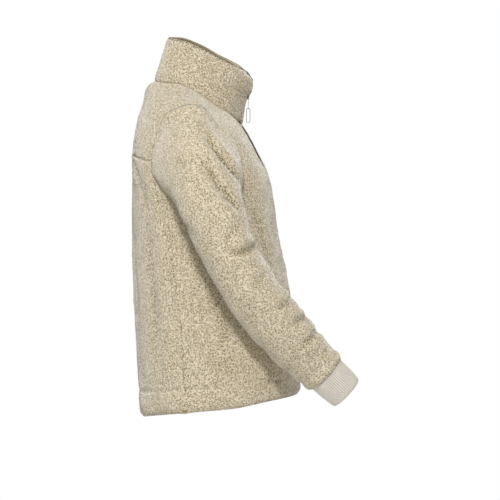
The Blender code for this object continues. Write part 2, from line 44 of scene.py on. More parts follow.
def deselectAll():
    active = bpy.context.view_layer.objects.active
    if active and active.mode != "OBJECT":
        bpy.ops.object.mode_set(mode="OBJECT")
    bpy.ops.object.select_all(action="DESELECT")


def pick(piece):
    deselectAll()
    piece.select_set(True)
    bpy.context.view_layer.objects.active = piece


def enterEdit(piece):
    pick(piece)
    bpy.ops.object.mode_set(mode="EDIT")
    bpy.ops.mesh.select_mode(type="FACE")
    bpy.ops.mesh.select_all(action="DESELECT")
    return bmesh.from_edit_mesh(piece.data)


def leaveEdit():
    bpy.ops.object.mode_set(mode="OBJECT")


def joinTriangles(faceBend):
    bpy.ops.mesh.tris_convert_to_quads(face_threshold=math.radians(faceBend),
                                       shape_threshold=math.radians(80))


def applyAll(piece):
    pick(piece)
    for modifier in list(piece.modifiers):
        bpy.ops.object.modifier_apply(modifier=modifier.name)


def pointsOf(piece):
    points = np.zeros(len(piece.data.vertices) * 3, np.float32)
    piece.data.vertices.foreach_get("co", points)
    return points.reshape(-1, 3).astype(float)


def normalsOf(piece):
    normals = np.zeros(len(piece.data.vertices) * 3, np.float32)
    piece.data.vertex_normals.foreach_get("vector", normals)
    return normals.reshape(-1, 3).astype(float)


def putPoints(piece, points):
    piece.data.vertices.foreach_set("co", points.astype(np.float32).ravel())
    piece.data.update()


def putValues(piece, name, values):
    # a number for each point, which a finish can read by name
    attribute = piece.data.attributes.new(name, "FLOAT", "POINT")
    attribute.data.foreach_set("value", np.asarray(values, np.float32))


def trianglesOf(piece):
    return sum(len(face.vertices) - 2 for face in piece.data.polygons)


def smoothStep(low, high, value):
    share = np.clip((value - low) / (high - low), 0, 1)
    return share * share * (3 - 2 * share)


def unit(rows):
    return rows / np.maximum(np.linalg.norm(rows, axis=-1, keepdims=True), 1e-9)


def scramble(x, y, z, salt):
    # a repeatable number from 0 to 1 for each whole-number cell
    h = (x.astype(np.int64) * 73856093) ^ (y.astype(np.int64) * 19349663)
    h = (h ^ (z.astype(np.int64) * 83492791) ^ (salt * 2654435761)) & 0xFFFFFFFF
    h = ((h ^ (h >> 16)) * 0x45D9F3B) & 0xFFFFFFFF
    h = ((h ^ (h >> 16)) * 0x45D9F3B) & 0xFFFFFFFF
    return (h ^ (h >> 16)) / 4294967295.0


def drift(points, size, salt):
    # smooth wandering values from -1 to 1, one wave about two sizes long
    place = points / size
    cell = np.floor(place)
    part = place - cell
    part = part * part * (3 - 2 * part)
    total = np.zeros(len(points))
    for dx in (0, 1):
        for dy in (0, 1):
            for dz in (0, 1):
                share = np.abs(1 - dx - part[:, 0]) * np.abs(1 - dy - part[:, 1])
                share = share * np.abs(1 - dz - part[:, 2])
                total += share * scramble(cell[:, 0] + dx, cell[:, 1] + dy, cell[:, 2] + dz, salt)
    return total * 2 - 1


def curls(points, size, salt):
    # height from 0 between the curls of the pile to 1 on top of each
    bend = np.stack([drift(points, size * 1.1, salt + k) for k in range(3)], axis=1)
    place = (points + bend * size * 0.6) / size
    cell = np.floor(place)
    nearest = np.full(len(points), 9.0)
    second = np.full(len(points), 9.0)
    for dx in (-1, 0, 1):
        for dy in (-1, 0, 1):
            for dz in (-1, 0, 1):
                cx, cy, cz = cell[:, 0] + dx, cell[:, 1] + dy, cell[:, 2] + dz
                away = (cx + scramble(cx, cy, cz, salt + 11) - place[:, 0]) ** 2
                away += (cy + scramble(cx, cy, cz, salt + 12) - place[:, 1]) ** 2
                away += (cz + scramble(cx, cy, cz, salt + 13) - place[:, 2]) ** 2
                second = np.minimum(second, np.maximum(nearest, away))
                nearest = np.minimum(nearest, away)
    gap = np.sqrt(second) - np.sqrt(nearest)
    return smoothStep(0.0, 0.45, gap)


studio = {
    "target": (0.0, -0.100, -0.2925),
    "elevation": 3.5,
    "distance": 27.8,
    "lens": 1000.0,
    "floor": -1.0,
    "floorRadius": 2.0,
    "background": 1.0,
    "ambient": 0.17,
}


def makeStudio():
    target = Vector(studio["target"])
    tilt = math.radians(studio["elevation"])
    away = Vector((-math.cos(tilt), 0, math.sin(tilt)))
    lensData = bpy.data.cameras.new("camera")
    lensData.lens = studio["lens"]
    lensData.sensor_width = 36
    lensData.clip_start = 0.5
    lensData.clip_end = 80
    camera = bpy.data.objects.new("camera", lensData)
    bpy.context.scene.collection.objects.link(camera)
    camera.location = target + away * studio["distance"]
    camera.rotation_mode = "QUATERNION"
    camera.rotation_quaternion = (-away).to_track_quat("-Z", "Y")
    bpy.context.scene.camera = camera
    bpy.context.scene.view_settings.view_transform = "Standard"

    deselectAll()
    bpy.ops.mesh.primitive_circle_add(vertices=96, radius=studio["floorRadius"], fill_type="NGON",
                                      location=(0, 0, studio["floor"]))
    floor = bpy.context.object
    floor.name = "floor"
    bpy.ops.object.transform_apply(location=True, rotation=True, scale=True)
    paint = bpy.data.materials.new("floorPaint")
    paint.use_nodes = True
    shader = paint.node_tree.nodes["Principled BSDF"]
    shader.inputs["Base Color"].default_value = (0.93, 0.93, 0.93, 1)
    shader.inputs["Roughness"].default_value = 0.9
    floor.data.materials.append(paint)

    # the background shows white, and lights the cloth less than it shows
    world = bpy.data.worlds.new("studioAir")
    bpy.context.scene.world = world
    world.use_nodes = True
    tree = world.node_tree
    tree.nodes.clear()
    out = tree.nodes.new("ShaderNodeOutputWorld")
    seen = tree.nodes.new("ShaderNodeBackground")
    lit = tree.nodes.new("ShaderNodeBackground")
    seen.inputs["Color"].default_value = (1, 1, 1, 1)
    seen.inputs["Strength"].default_value = studio["background"]
    lit.inputs["Color"].default_value = (1, 1, 1, 1)
    lit.inputs["Strength"].default_value = studio["ambient"]
    mix = tree.nodes.new("ShaderNodeMixShader")
    path = tree.nodes.new("ShaderNodeLightPath")
    tree.links.new(path.outputs["Is Camera Ray"], mix.inputs[0])
    tree.links.new(lit.outputs[0], mix.inputs[1])
    tree.links.new(seen.outputs[0], mix.inputs[2])
    tree.links.new(mix.outputs[0], out.inputs["Surface"])


lamps = {
    # name: place, power in watts, width
    "key": ((-4.1, -0.05, 1.75), 110.0, 0.65),
    "high": ((-2.0, 0.6, 3.9), 76.0, 1.8),
    "back": ((0.2, 2.8, 0.9), 16.0, 1.6),
    "farSide": ((2.2, -2.2, 0.8), 28.0, 1.2),
}


def makeLamps():
    for name, (place, power, width) in lamps.items():
        data = bpy.data.lights.new(name, "AREA")
        data.shape = "DISK"
        data.size = width
        data.energy = power
        lamp = bpy.data.objects.new(name, data)
        bpy.context.scene.collection.objects.link(lamp)
        lamp.location = place
        lamp.rotation_mode = "QUATERNION"
        aim = Vector(studio["target"]) - Vector(place)
        lamp.rotation_quaternion = aim.to_track_quat("-Z", "Y")


makeStudio()
makeLamps()
print("studio made")


class Flow:
    # one socket's output, which + - * / and ** turn into Math nodes
    def __init__(self, finish, socket):
        self.finish, self.socket = finish, socket

    def sum(self, operation, first, second):
        return self.finish.node("ShaderNodeMath", {"operation": operation}, {0: first, 1: second})

    def __add__(self, other):
        return self.sum("ADD", self, other)

    def __radd__(self, other):
        return self.sum("ADD", other, self)

    def __sub__(self, other):
        return self.sum("SUBTRACT", self, other)

    def __rsub__(self, other):
        return self.sum("SUBTRACT", other, self)

    def __mul__(self, other):
        return self.sum("MULTIPLY", self, other)

    def __rmul__(self, other):
        return self.sum("MULTIPLY", other, self)

    def __truediv__(self, other):
        return self.sum("DIVIDE", self, other)

    def __pow__(self, other):
        return self.sum("POWER", self, other)


class Finish:
    # one material: fixed values go straight on the shader, what varies comes from node()
    def __init__(self, name, **fixed):
        self.material = bpy.data.materials.new(name)
        self.material.use_nodes = True
        self.tree = self.material.node_tree
        self.shader = self.tree.nodes["Principled BSDF"]
        for socketName, value in fixed.items():
            self.shader.inputs[socketName.replace("_", " ")].default_value = value

    def node(self, kind, settings=None, inputs=None, output=0):
        made = self.tree.nodes.new(kind)
        for key, value in (settings or {}).items():
            if key == "stops":
                ramp = made.color_ramp
                while len(ramp.elements) < len(value):
                    ramp.elements.new(0.5)
                for element, (position, colour) in zip(ramp.elements, value):
                    element.position = position
                    element.color = colour
            else:
                setattr(made, key, value)
        for key, value in (inputs or {}).items():
            if isinstance(value, Flow):
                self.tree.links.new(value.socket, made.inputs[key])
            else:
                made.inputs[key].default_value = value
        return Flow(self, made.outputs[output])

    def feed(self, socketName, flow):
        self.tree.links.new(flow.socket, self.shader.inputs[socketName])

    def place(self):
        return self.node("ShaderNodeTexCoord", output="Object")

    def noise(self, place, scale, detail=2.0, roughness=0.5):
        inputs = {"Vector": place, "Scale": scale, "Detail": detail, "Roughness": roughness}
        return self.node("ShaderNodeTexNoise", None, inputs, 0)

    def height(self, name):
        return self.node("ShaderNodeAttribute", {"attribute_name": name}, None, "Fac")

    def shades(self, factor, *stops):
        opaque = [(position, (*colour, 1)) for position, colour in stops]
        return self.node("ShaderNodeValToRGB", {"stops": opaque}, {0: factor})

    def bump(self, height, distance, strength):
        inputs = {"Height": height, "Distance": distance, "Strength": strength}
        self.feed("Normal", self.node("ShaderNodeBump", None, inputs))


pile = {
    # gap and deep are painted shade, the shadow between the curls of the pile; middle and tip are the
    # pile's own colour
    "gap": (0.085, 0.060, 0.020),
    "deep": (0.320, 0.255, 0.132),
    "middle": (0.660, 0.560, 0.392),
    "tip": (0.840, 0.755, 0.600),
    "curlScale": 320.0,
    "fluffScale": 620.0,
    "bumpDepth": 0.0016,
}


def makePile():
    finish = Finish("pileFleece", Roughness=0.95, Sheen_Weight=1.0, Sheen_Roughness=0.36,
                    Sheen_Tint=(0.95, 0.93, 0.89, 1), Specular_IOR_Level=0.1)
    place = finish.place()
    wander = finish.node("ShaderNodeTexNoise", None,
                         {"Vector": place, "Scale": 260.0, "Detail": 2.0}, "Color")
    swayed = finish.node("ShaderNodeVectorMath", {"operation": "MULTIPLY_ADD"},
                         {0: wander, 1: (0.0016, 0.0016, 0.0016), 2: place})
    knots = finish.node("ShaderNodeTexVoronoi", {"feature": "SMOOTH_F1"},
                        {"Vector": swayed, "Scale": pile["curlScale"], "Smoothness": 0.2,
                         "Randomness": 0.75}, "Distance")
    fluff = finish.noise(place, pile["fluffScale"], 3.0, 0.65)
    patch = finish.noise(place, 24.0, 3.0)
    curl = knots * 1.5
    # the level runs low in the pits and in the low places between the curls, where the colour takes the
    # painted shade of gap and deep
    level = curl * 0.58 + finish.height("pileHeight") * 0.14 + fluff * 0.18 + patch * 0.08
    # painted shade: the pile is coloured darker in the crease troughs and along the seam troughs
    level = level - finish.height("parting") * 0.20
    colour = finish.shades(level, (0.24, pile["gap"]), (0.40, pile["deep"]), (0.58, pile["middle"]),
                           (0.86, pile["tip"]))
    finish.feed("Base Color", colour)
    finish.bump(curl * 0.7 + fluff * 0.5, pile["bumpDepth"], 0.9)
    return finish.material


def makeBacking():
    finish = Finish("fleeceBack", Roughness=0.9, Sheen_Weight=0.2)
    place = finish.place()
    loops = finish.noise(place, 700.0)
    patch = finish.noise(place, 30.0)
    colour = finish.shades(loops * 0.7 + patch * 0.3, (0.25, (0.40, 0.33, 0.23)),
                           (0.75, (0.56, 0.48, 0.36)))
    finish.feed("Base Color", colour)
    finish.bump(loops, 0.0008, 0.5)
    return finish.material


def makeFacing():
    finish = Finish("facingKnit", Roughness=0.85, Sheen_Weight=0.35, Sheen_Roughness=0.4)
    place = finish.place()
    nap = finish.noise(place, 900.0, 3.0, 0.6)
    patch = finish.noise(place, 45.0, 3.0)
    # the facing's own khaki-olive colour, made darker with painted shade of the collar's inside
    colour = finish.shades(nap * 0.55 + patch * 0.45, (0.28, (0.170, 0.135, 0.062)),
                           (0.72, (0.330, 0.272, 0.145)))
    finish.feed("Base Color", colour)
    finish.bump(nap, 0.0007, 0.6)
    return finish.material


def makeRibKnit():
    finish = Finish("ribKnit", Roughness=0.9, Sheen_Weight=0.3, Sheen_Roughness=0.4)
    place = finish.place()
    stitches = finish.noise(place, 650.0, 2.0, 0.6)
    patch = finish.noise(place, 40.0)
    # painted shade: the colour is darker in the grooves between the ribs, by the rib height, besides the
    # stitches' own tone
    level = finish.height("ribHeight") * 0.46 + stitches * 0.40 + patch * 0.14
    colour = finish.shades(level, (0.15, (0.38, 0.335, 0.26)), (0.50, (0.72, 0.67, 0.58)),
                           (0.80, (0.84, 0.80, 0.72)))
    finish.feed("Base Color", colour)
    finish.bump(stitches, 0.0007, 0.6)
    return finish.material


def makeTape():
    finish = Finish("zipTape", Roughness=0.9, Specular_IOR_Level=0.2)
    place = finish.place()
    weave = finish.node("ShaderNodeTexWave", {"wave_type": "BANDS", "bands_direction": "Z"},
                        {"Vector": place, "Scale": 520.0, "Distortion": 1.5, "Detail": 1.0}, 1)
    colour = finish.shades(weave, (0.2, (0.030, 0.028, 0.020)), (0.8, (0.080, 0.074, 0.055)))
    finish.feed("Base Color", colour)
    finish.bump(weave, 0.0003, 0.5)
    return finish.material


def makeTeethFinish():
    finish = Finish("zipTeeth", Roughness=0.42)
    place = finish.place()
    speck = finish.noise(place, 500.0)
    colour = finish.shades(speck, (0.3, (0.018, 0.017, 0.012)), (0.8, (0.050, 0.047, 0.036)))
    finish.feed("Base Color", colour)
    finish.feed("Roughness", speck * 0.3 + 0.3)
    return finish.material


def makeSliderFinish():
    finish = Finish("sliderPaint", Metallic=0.0)
    place = finish.place()
    worn = finish.noise(place, 900.0, 3.0, 0.6)
    colour = finish.shades(worn, (0.35, (0.006, 0.006, 0.005)), (0.70, (0.018, 0.018, 0.015)),
                           (0.88, (0.090, 0.090, 0.080)))
    finish.feed("Base Color", colour)
    finish.feed("Roughness", worn * 0.30 + 0.38)
    return finish.material


def makeSteel():
    finish = Finish("pullSteel", Roughness=0.30, Metallic=1.0)
    place = finish.place()
    brush = finish.noise(place, 1500.0, 2.0, 0.6)
    colour = finish.shades(brush, (0.3, (0.035, 0.036, 0.038)), (0.7, (0.110, 0.112, 0.115)))
    finish.feed("Base Color", colour)
    finish.feed("Roughness", brush * 0.25 + 0.20)
    return finish.material


pileFinish = makePile()
backingFinish = makeBacking()
facingFinish = makeFacing()
ribFinish = makeRibKnit()
tapeFinish = makeTape()
teethFinish = makeTeethFinish()
sliderFinish = makeSliderFinish()
steelFinish = makeSteel()
print("finishes made")


# the middle of each arm, from inside the shoulder to the end of the cuff, in millimetres
arms = {
    "right": [(190, 10, -60), (232, -12, -150), (250, -32, -212), (254, -48, -251), (258, -70, -301),
              (258, -92, -341), (256, -114, -376), (246, -162, -433), (235, -206, -482), (226, -245, -520),
              (216, -291, -562.5)],
    "left": [(190, 10, -60), (232, -12, -150), (250, -32, -212), (255, -39, -253), (262, -47, -304),
             (267, -56, -346), (268, -74, -388), (262, -115, -436), (251, -157, -478), (240, -196, -515),
             (228, -240, -557)],
}


def armLine(side):
    # an even and softened line through the middle of an arm, and how far along it each point lies
    table = np.array(arms[side]) / 1000
    if side == "right":
        table[:, 0] *= -1
    steps = np.concatenate([[0], np.cumsum(np.linalg.norm(np.diff(table, axis=0), axis=1))])
    even = np.linspace(0, steps[-1], 90)
    line = np.stack([np.interp(even, steps, table[:, k]) for k in range(3)], axis=1)
    for _ in range(6):
        line[1:-1] = (line[:-2] + 2 * line[1:-1] + line[2:]) / 4
    return line, np.concatenate([[0], np.cumsum(np.linalg.norm(np.diff(line, axis=0), axis=1))])


def armPlaces(points, side):
    # how far along an arm each point is, its turn from the outside towards the back, and the
    # arm's middle there
    line, steps = armLine(side)
    best = np.full(len(points), 9.0)
    along = np.zeros(len(points))
    middle = np.zeros_like(points)
    axes = np.zeros_like(points)
    for k, (start, end) in enumerate(zip(line[:-1], line[1:])):
        axis = end - start
        share = np.clip(((points - start) @ axis) / (axis @ axis), 0, 1)
        place = start + share[:, None] * axis
        away = np.linalg.norm(points - place, axis=1)
        closer = away < best
        best[closer] = away[closer]
        along[closer] = steps[k] + share[closer] * np.linalg.norm(axis)
        middle[closer] = place[closer]
        axes[closer] = axis / np.linalg.norm(axis)
    outward = np.array([1.0 if side == "left" else -1.0, 0, 0])
    outward = unit(outward - axes * (axes @ outward)[:, None])
    backward = np.cross(axes, outward)
    backward *= np.where(backward[:, 1:2] < 0, -1, 1)
    spread = points - middle
    turn = np.degrees(np.arctan2((spread * backward).sum(1), (spread * outward).sum(1))) % 360
    return along, turn, middle


def sideOf(name):
    return "left" if name.endswith("left") else "right"


def heartOf(name, points):
    # the middle of the hollow that a piece goes round, beside each point
    if name.startswith(("sleeve", "cuff")):
        return armPlaces(points, sideOf(name))[2]
    middle = points.copy()
    middle[:, 0] = 0
    middle[:, 1] = -0.015
    return middle


# Creases listed: width, depth, path. On a sleeve a path is metres along the arm and
# degrees round it: 0 outside, 90 back, 180 inside, 270 front. On the body it is the height and
# degrees from the centre front.
sleeveCreases = {
    "right": [
        (0.0115, 0.0090, [(0.010, 330), (0.040, 313), (0.066, 298), (0.090, 280), (0.119, 258)]),
        (0.0100, 0.0068, [(0.073, 356), (0.099, 342), (0.124, 328), (0.150, 313), (0.179, 298)]),
        (0.0065, 0.0036, [(0.117, 346), (0.147, 330), (0.172, 308)]),
        (0.0080, 0.0024, [(0.200, 318), (0.216, 340), (0.232, 366)]),
        (0.0085, 0.0058, [(0.258, 258), (0.257, 290), (0.256, 318), (0.254, 342), (0.244, 368)]),
        (0.0100, 0.0020, [(0.300, 300), (0.318, 322), (0.330, 350)]),
        (0.0080, 0.0042, [(0.395, 262), (0.393, 292), (0.391, 318), (0.384, 340)]),
        (0.0080, 0.0048, [(0.446, 256), (0.444, 286), (0.434, 312), (0.428, 336)]),
        (0.0080, 0.0038, [(0.486, 250), (0.482, 285), (0.476, 318), (0.474, 352)]),
        (0.0110, 0.0022, [(0.150, 120), (0.170, 80), (0.196, 48)]),
        (0.0100, 0.0042, [(0.262, 150), (0.250, 195), (0.258, 240)]),
        (0.0110, 0.0024, [(0.420, 60), (0.444, 100), (0.456, 150)]),
        (0.0090, 0.0022, [(0.490, 30), (0.500, 80), (0.496, 130)]),
    ],
    "left": [
        (0.0110, 0.0080, [(0.014, 326), (0.048, 310), (0.078, 294), (0.112, 270)]),
        (0.0080, 0.0056, [(0.082, 352), (0.112, 336), (0.140, 318), (0.170, 300)]),
        (0.0085, 0.0026, [(0.190, 322), (0.206, 346), (0.220, 372)]),
        (0.0090, 0.0062, [(0.268, 252), (0.272, 285), (0.276, 315), (0.270, 345)]),
        (0.0080, 0.0040, [(0.300, 262), (0.306, 292), (0.312, 318)]),
        (0.0090, 0.0026, [(0.388, 276), (0.384, 304), (0.380, 330)]),
        (0.0080, 0.0032, [(0.440, 258), (0.442, 290), (0.436, 326)]),
        (0.0080, 0.0026, [(0.482, 244), (0.478, 280), (0.470, 322)]),
        (0.0110, 0.0024, [(0.160, 128), (0.184, 88), (0.210, 52)]),
        (0.0100, 0.0046, [(0.276, 146), (0.262, 190), (0.266, 236)]),
        (0.0110, 0.0024, [(0.430, 66), (0.450, 104), (0.462, 148)]),
    ],
}

bodyCreases = {
    "right": [
        (0.0150, 0.0026, [(-0.150, 133), (-0.290, 128), (-0.420, 126), (-0.545, 127)]),
        (0.0120, 0.0012, [(-0.210, 112), (-0.330, 111), (-0.430, 113)]),
        (0.0150, 0.0022, [(-0.330, 86), (-0.430, 80), (-0.530, 77)]),
        (0.0120, 0.0026, [(-0.200, 58), (-0.270, 52), (-0.330, 44)]),
        (0.0160, 0.0024, [(-0.300, 30), (-0.420, 33), (-0.540, 31)]),
        (0.0170, 0.0026, [(-0.240, 160), (-0.380, 154), (-0.520, 156)]),
        (0.0110, 0.0020, [(-0.120, 150), (-0.150, 140), (-0.205, 131)]),
    ],
    "left": [
        (0.0150, 0.0026, [(-0.160, 136), (-0.300, 131), (-0.440, 130), (-0.540, 131)]),
        (0.0150, 0.0024, [(-0.300, 92), (-0.410, 86), (-0.520, 83)]),
        (0.0120, 0.0026, [(-0.195, 60), (-0.262, 54), (-0.320, 47)]),
        (0.0160, 0.0024, [(-0.330, 27), (-0.440, 30), (-0.550, 27)]),
        (0.0170, 0.0022, [(-0.300, 166), (-0.420, 160), (-0.540, 163)]),
        (0.0110, 0.0020, [(-0.125, 152), (-0.160, 143), (-0.220, 134)]),
    ],
}


crease = {
    "gain": 1.2,
    "endShare": 0.15,        # how much of its depth a crease has at its ends
    "ridge": 0.45,           # the low ridges on both sides, as a share of the depth
    "ridgeAway": 1.9,        # in widths of the crease
    "ridgeWidth": 1.1,
    "sleeveRadius": 0.057,
    "bodyRadius": 0.165,
}


def creaseDepth(along, turn, radius, rows, widen):
    # how far the cloth is set in. Each crease is a soft trough with a low ridge on both its sides
    total = np.zeros(len(along))
    for width, depth, path in rows:
        width = width * widen
        spans = [(b[0] - a[0], math.radians(b[1] - a[1]) * radius)
                 for a, b in zip(path[:-1], path[1:])]
        lengths = [math.hypot(*span) for span in spans]
        nearest = np.full(len(along), 9.0)
        position = np.zeros(len(along))
        before = 0.0
        for (fromAlong, fromTurn), span, length in zip(path, spans, lengths):
            hereAlong = along - fromAlong
            hereTurn = np.radians((turn - fromTurn + 180) % 360 - 180) * radius
            share = np.clip((hereAlong * span[0] + hereTurn * span[1]) / length ** 2, 0, 1)
            off = np.hypot(hereAlong - share * span[0], hereTurn - share * span[1])
            closer = off < nearest
            nearest[closer] = off[closer]
            position[closer] = before + share[closer] * length
            before += length
        middleShare = np.sin(np.pi * position / before) ** 0.7
        fade = crease["endShare"] + (1 - crease["endShare"]) * middleShare
        trough = np.exp(-(nearest / width) ** 2)
        offRidge = (nearest - crease["ridgeAway"] * width) / (crease["ridgeWidth"] * width)
        ridge = crease["ridge"] * np.exp(-offRidge ** 2)
        total += crease["gain"] * depth * fade * (trough - ridge)
    return total


def bodyPlaces(points):
    turn = np.degrees(np.arctan2(np.abs(points[:, 0]), -(points[:, 1] + 0.012)))
    return turn, points[:, 2]


def islands(bm, bendLimit):
    # groups of faces that meet at less than a sharp bend
    unseen = set(bm.faces)
    groups = []
    while unseen:
        first = unseen.pop()
        group, queue = [first], [first]
        while queue:
            face = queue.pop()
            for edge in face.edges:
                if len(edge.link_faces) != 2:
                    continue
                other = edge.link_faces[0] if edge.link_faces[1] is face else edge.link_faces[1]
                if other in unseen and face.normal.angle(other.normal, 0) < bendLimit:
                    unseen.discard(other)
                    group.append(other)
                    queue.append(other)
        groups.append(group)
    return groups


def mergedCopy(nodeName, pieceName):
    mesh = cadNodes[nodeName].data.copy()
    mesh.name = pieceName
    mesh.materials.clear()
    piece = bpy.data.objects.new(pieceName, mesh)
    bpy.context.scene.collection.objects.link(piece)
    enterEdit(piece)
    bpy.ops.mesh.select_all(action="SELECT")
    bpy.ops.mesh.remove_doubles(threshold=0.00002)
    bpy.ops.mesh.select_all(action="DESELECT")
    leaveEdit()
    return piece


def outerSkin(nodeName, pieceName):
    # a copy of a solid's outer wall alone, in four-sided faces
    piece = mergedCopy(nodeName, pieceName)
    bm = enterEdit(piece)
    best, bestScore = None, 0
    for group in islands(bm, math.radians(52)):
        middles = np.array([face.calc_center_median() for face in group])
        facing = np.array([face.normal for face in group])
        area = np.array([face.calc_area() for face in group])
        score = float((((middles - heartOf(nodeName, middles)) * facing).sum(1) * area).sum())
        if score > bestScore:
            best, bestScore = group, score
    for face in best:
        face.select = True
    bmesh.update_edit_mesh(piece.data)
    bpy.ops.mesh.select_all(action="INVERT")
    bpy.ops.mesh.delete(type="FACE")
    bpy.ops.mesh.select_all(action="SELECT")
    joinTriangles(70)
    leaveEdit()
    return piece


# how far the pile reaches past each kind of edge, and how far it rolls in there
edges = {
    "seam": dict(grow=0.0019, depth=0.0016, reach=0.0080),
    "yoke": dict(grow=0.0012, depth=0.0028, reach=0.0075),
    "shoulder": dict(grow=0.0012, depth=0.0, reach=0.0060),
    "armhole": dict(grow=0.0022, depth=0.0018, reach=0.0130),
    "zip": dict(grow=0.0004, depth=0.0026, reach=0.0220),
    "collarFront": dict(grow=0.0052, depth=0.0010, reach=0.0050),
    "collarTop": dict(grow=0.0016, depth=0.0030, reach=0.0100),
    "hem": dict(grow=0.0, depth=0.0022, reach=0.0110),
    "sleeveEnd": dict(grow=0.0068, depth=0.0022, reach=0.0080),
}


def edgeKinds(name, points):
    # what each point of a piece's rim is sewn to
    x, y, z = np.abs(points[:, 0]), points[:, 1], points[:, 2]
    kinds = np.full(len(points), "seam", dtype="U12")
    frontEdge = np.interp(z, (0.006, 0.027, 0.050, 0.069), (0.006, 0.012, 0.021, 0.030)) + 0.0016
    if name.startswith("sleeve"):
        along = armPlaces(points, sideOf(name))[0]
        kinds[:] = np.where(along > along.max() - 0.03, "sleeveEnd", "armhole")
    elif name == "collar":
        middleHeight = np.interp(y, (-0.09, 0.08), (0.015, 0.090))
        kinds[z > middleHeight] = "collarTop"
        kinds[(x < frontEdge) & (y < -0.06)] = "collarFront"
    else:
        if not name.startswith("side"):
            atArmhole = (x > 0.164) & (z > -0.195) & (y < 0.11) & (y > -0.11)
            kinds[atArmhole] = "armhole"
            kinds[(x < 0.166) & (x > 0.084) & (z > -0.03) & (y > -0.03) & (y < 0.02)] = "shoulder"
        atYoke = (y > 0.02) & (z < -0.07) & (z > -0.16) & (kinds != "armhole")
        kinds[atYoke & name.startswith("back")] = "yoke"
        kinds[(x < 0.0078) & (y < -0.06)] = "zip"
        hemEdge = np.interp(y, (-0.202, -0.140, 0.028, 0.114), (-0.574, -0.585, -0.608, -0.627))
        kinds[z < hemEdge + 0.006] = "hem"
    return kinds


def rimDirections(piece):
    # the points on a piece's open rim, and the way out of the cloth at each
    bm = bmesh.new()
    bm.from_mesh(piece.data)
    outward = {}
    for edge in bm.edges:
        if len(edge.link_faces) != 1:
            continue
        face = edge.link_faces[0]
        along = (edge.verts[1].co - edge.verts[0].co).normalized()
        away = face.normal.cross(along)
        if away.dot(edge.verts[0].co - face.calc_center_median()) < 0:
            away = -away
        for vert in edge.verts:
            outward[vert.index] = outward.get(vert.index, Vector()) + away
    bm.free()
    numbers = np.array(sorted(outward))
    ways = np.array([outward[number].normalized() for number in numbers])
    return numbers, ways


def rimSpots(piece):
    # points every 2 mm along the open rim
    bm = bmesh.new()
    bm.from_mesh(piece.data)
    spots = []
    for edge in bm.edges:
        if len(edge.link_faces) == 1:
            a, b = edge.verts[0].co, edge.verts[1].co
            steps = max(1, int((a - b).length / 0.002))
            spots += [a.lerp(b, k / steps) for k in range(steps)]
    bm.free()
    return np.array(spots)


def nearestSpots(points, spots):
    # how far each point is from the rim, and which rim spot is nearest
    tree = kdtree.KDTree(len(spots))
    for number, spot in enumerate(spots):
        tree.insert(spot, number)
    tree.balance()
    found = [tree.find(point)[1:] for point in points]
    return np.array([away for _, away in found]), np.array([number for number, _ in found])


hem = {
    # how far from the neck the turned-up hem is stitched, in metres
    "y": (-0.204, -0.139, -0.050, 0.030, 0.122),
    "z": (-0.537, -0.544, -0.553, -0.560, -0.572),
    "width": 0.0040,
    "depth": 0.0018,
    "lumpSize": 0.034,
    "lumpHeight": 0.0022,
}

fleecePieces = {
    # name: levels of smoothing, cuts after it, cut width and length, area
    "back": dict(levels=2, cuts=3, flat=(0.46, 0.53), area=0.208),
    "back_yoke": dict(levels=2, cuts=2, flat=(0.44, 0.18), area=0.063),
    "side_panel_left": dict(levels=2, cuts=3, flat=(0.19, 0.45), area=0.077),
    "side_panel_right": dict(levels=2, cuts=3, flat=(0.19, 0.45), area=0.077),
    "front_left": dict(levels=2, cuts=3, flat=(0.22, 0.64), area=0.107),
    "front_right": dict(levels=2, cuts=3, flat=(0.22, 0.64), area=0.107),
    "sleeve_left": dict(levels=1, cuts=4, flat=(0.38, 0.62), area=0.189),
    "sleeve_right": dict(levels=1, cuts=4, flat=(0.38, 0.62), area=0.196),
    "collar": dict(levels=1, cuts=4, flat=(0.56, 0.11), area=0.048),
}

fleece = {
    "wall": 0.0034,          # cloth without its curls
    "edgeShare": 0.40,       # how much of the wall is left at a sewn edge
    "curlSize": 0.0042,
    "curlHeight": 0.0016,
    "waveSize": 0.030,
    "waveHeight": 0.0010,
    "swellSize": 0.085,
    "swellHeight": 0.0022,
    "rimReach": 0.0035,      # this near an edge, narrow faces that look along it stay uncut
    "rimWidth": 0.0024,
    "backWiden": 1.7,        # a crease is wider and deeper on the back of the cloth
    "backDepth": 1.25,
    "lumpSize": 0.026,       # the lumps on the lower sleeve
    "lumpHeight": 0.0020,
    "lumpsFrom": (0.28, 0.46),
}

collarCorner = {
    # the pile stays back here, so that the teeth show where they turn over the corner
    "z": (0.046, 0.060),
    "back": 0.0046,
}

puff = {
    "collarHeight": 0.0032,
    "collarReach": 0.014,
    "collarZ": (0.064, 0.050),
    "sliderZ": 0.0165,       # the slider lies in a gap between the puffs
    "sliderReach": 0.0075,
    "cuffHeight": 0.0046,
    "cuffReach": 0.011,
    "cuffUneven": 0.35,
}

dip = {
    "depth": 0.0038,
    "across": (0.010, 0.020, 0.045, 0.095),
    "z": (-0.146, -0.104),
    "y": (-0.050, -0.070),
}


def hasHem(name):
    return name.startswith(("back", "front", "side")) and name != "back_yoke"


def hemTrough(name, points):
    if not hasHem(name):
        return 0.0
    line = np.interp(points[:, 1], hem["y"], hem["z"])
    return hem["depth"] * np.exp(-((points[:, 2] - line) / hem["width"]) ** 2)


def hemLumps(name, points):
    # the free edge isn't quite even: it swells between its stitches
    if not hasHem(name):
        return np.zeros(len(points))
    line = np.interp(points[:, 1], hem["y"], hem["z"])
    below = smoothStep(0.0, 0.030, line - points[:, 2])
    flat = points * (1, 1, 0.4)
    lumps = drift(flat, hem["lumpSize"], 71) + 0.5 * drift(flat, hem["lumpSize"] * 0.4, 72)
    return below * lumps * hem["lumpHeight"]


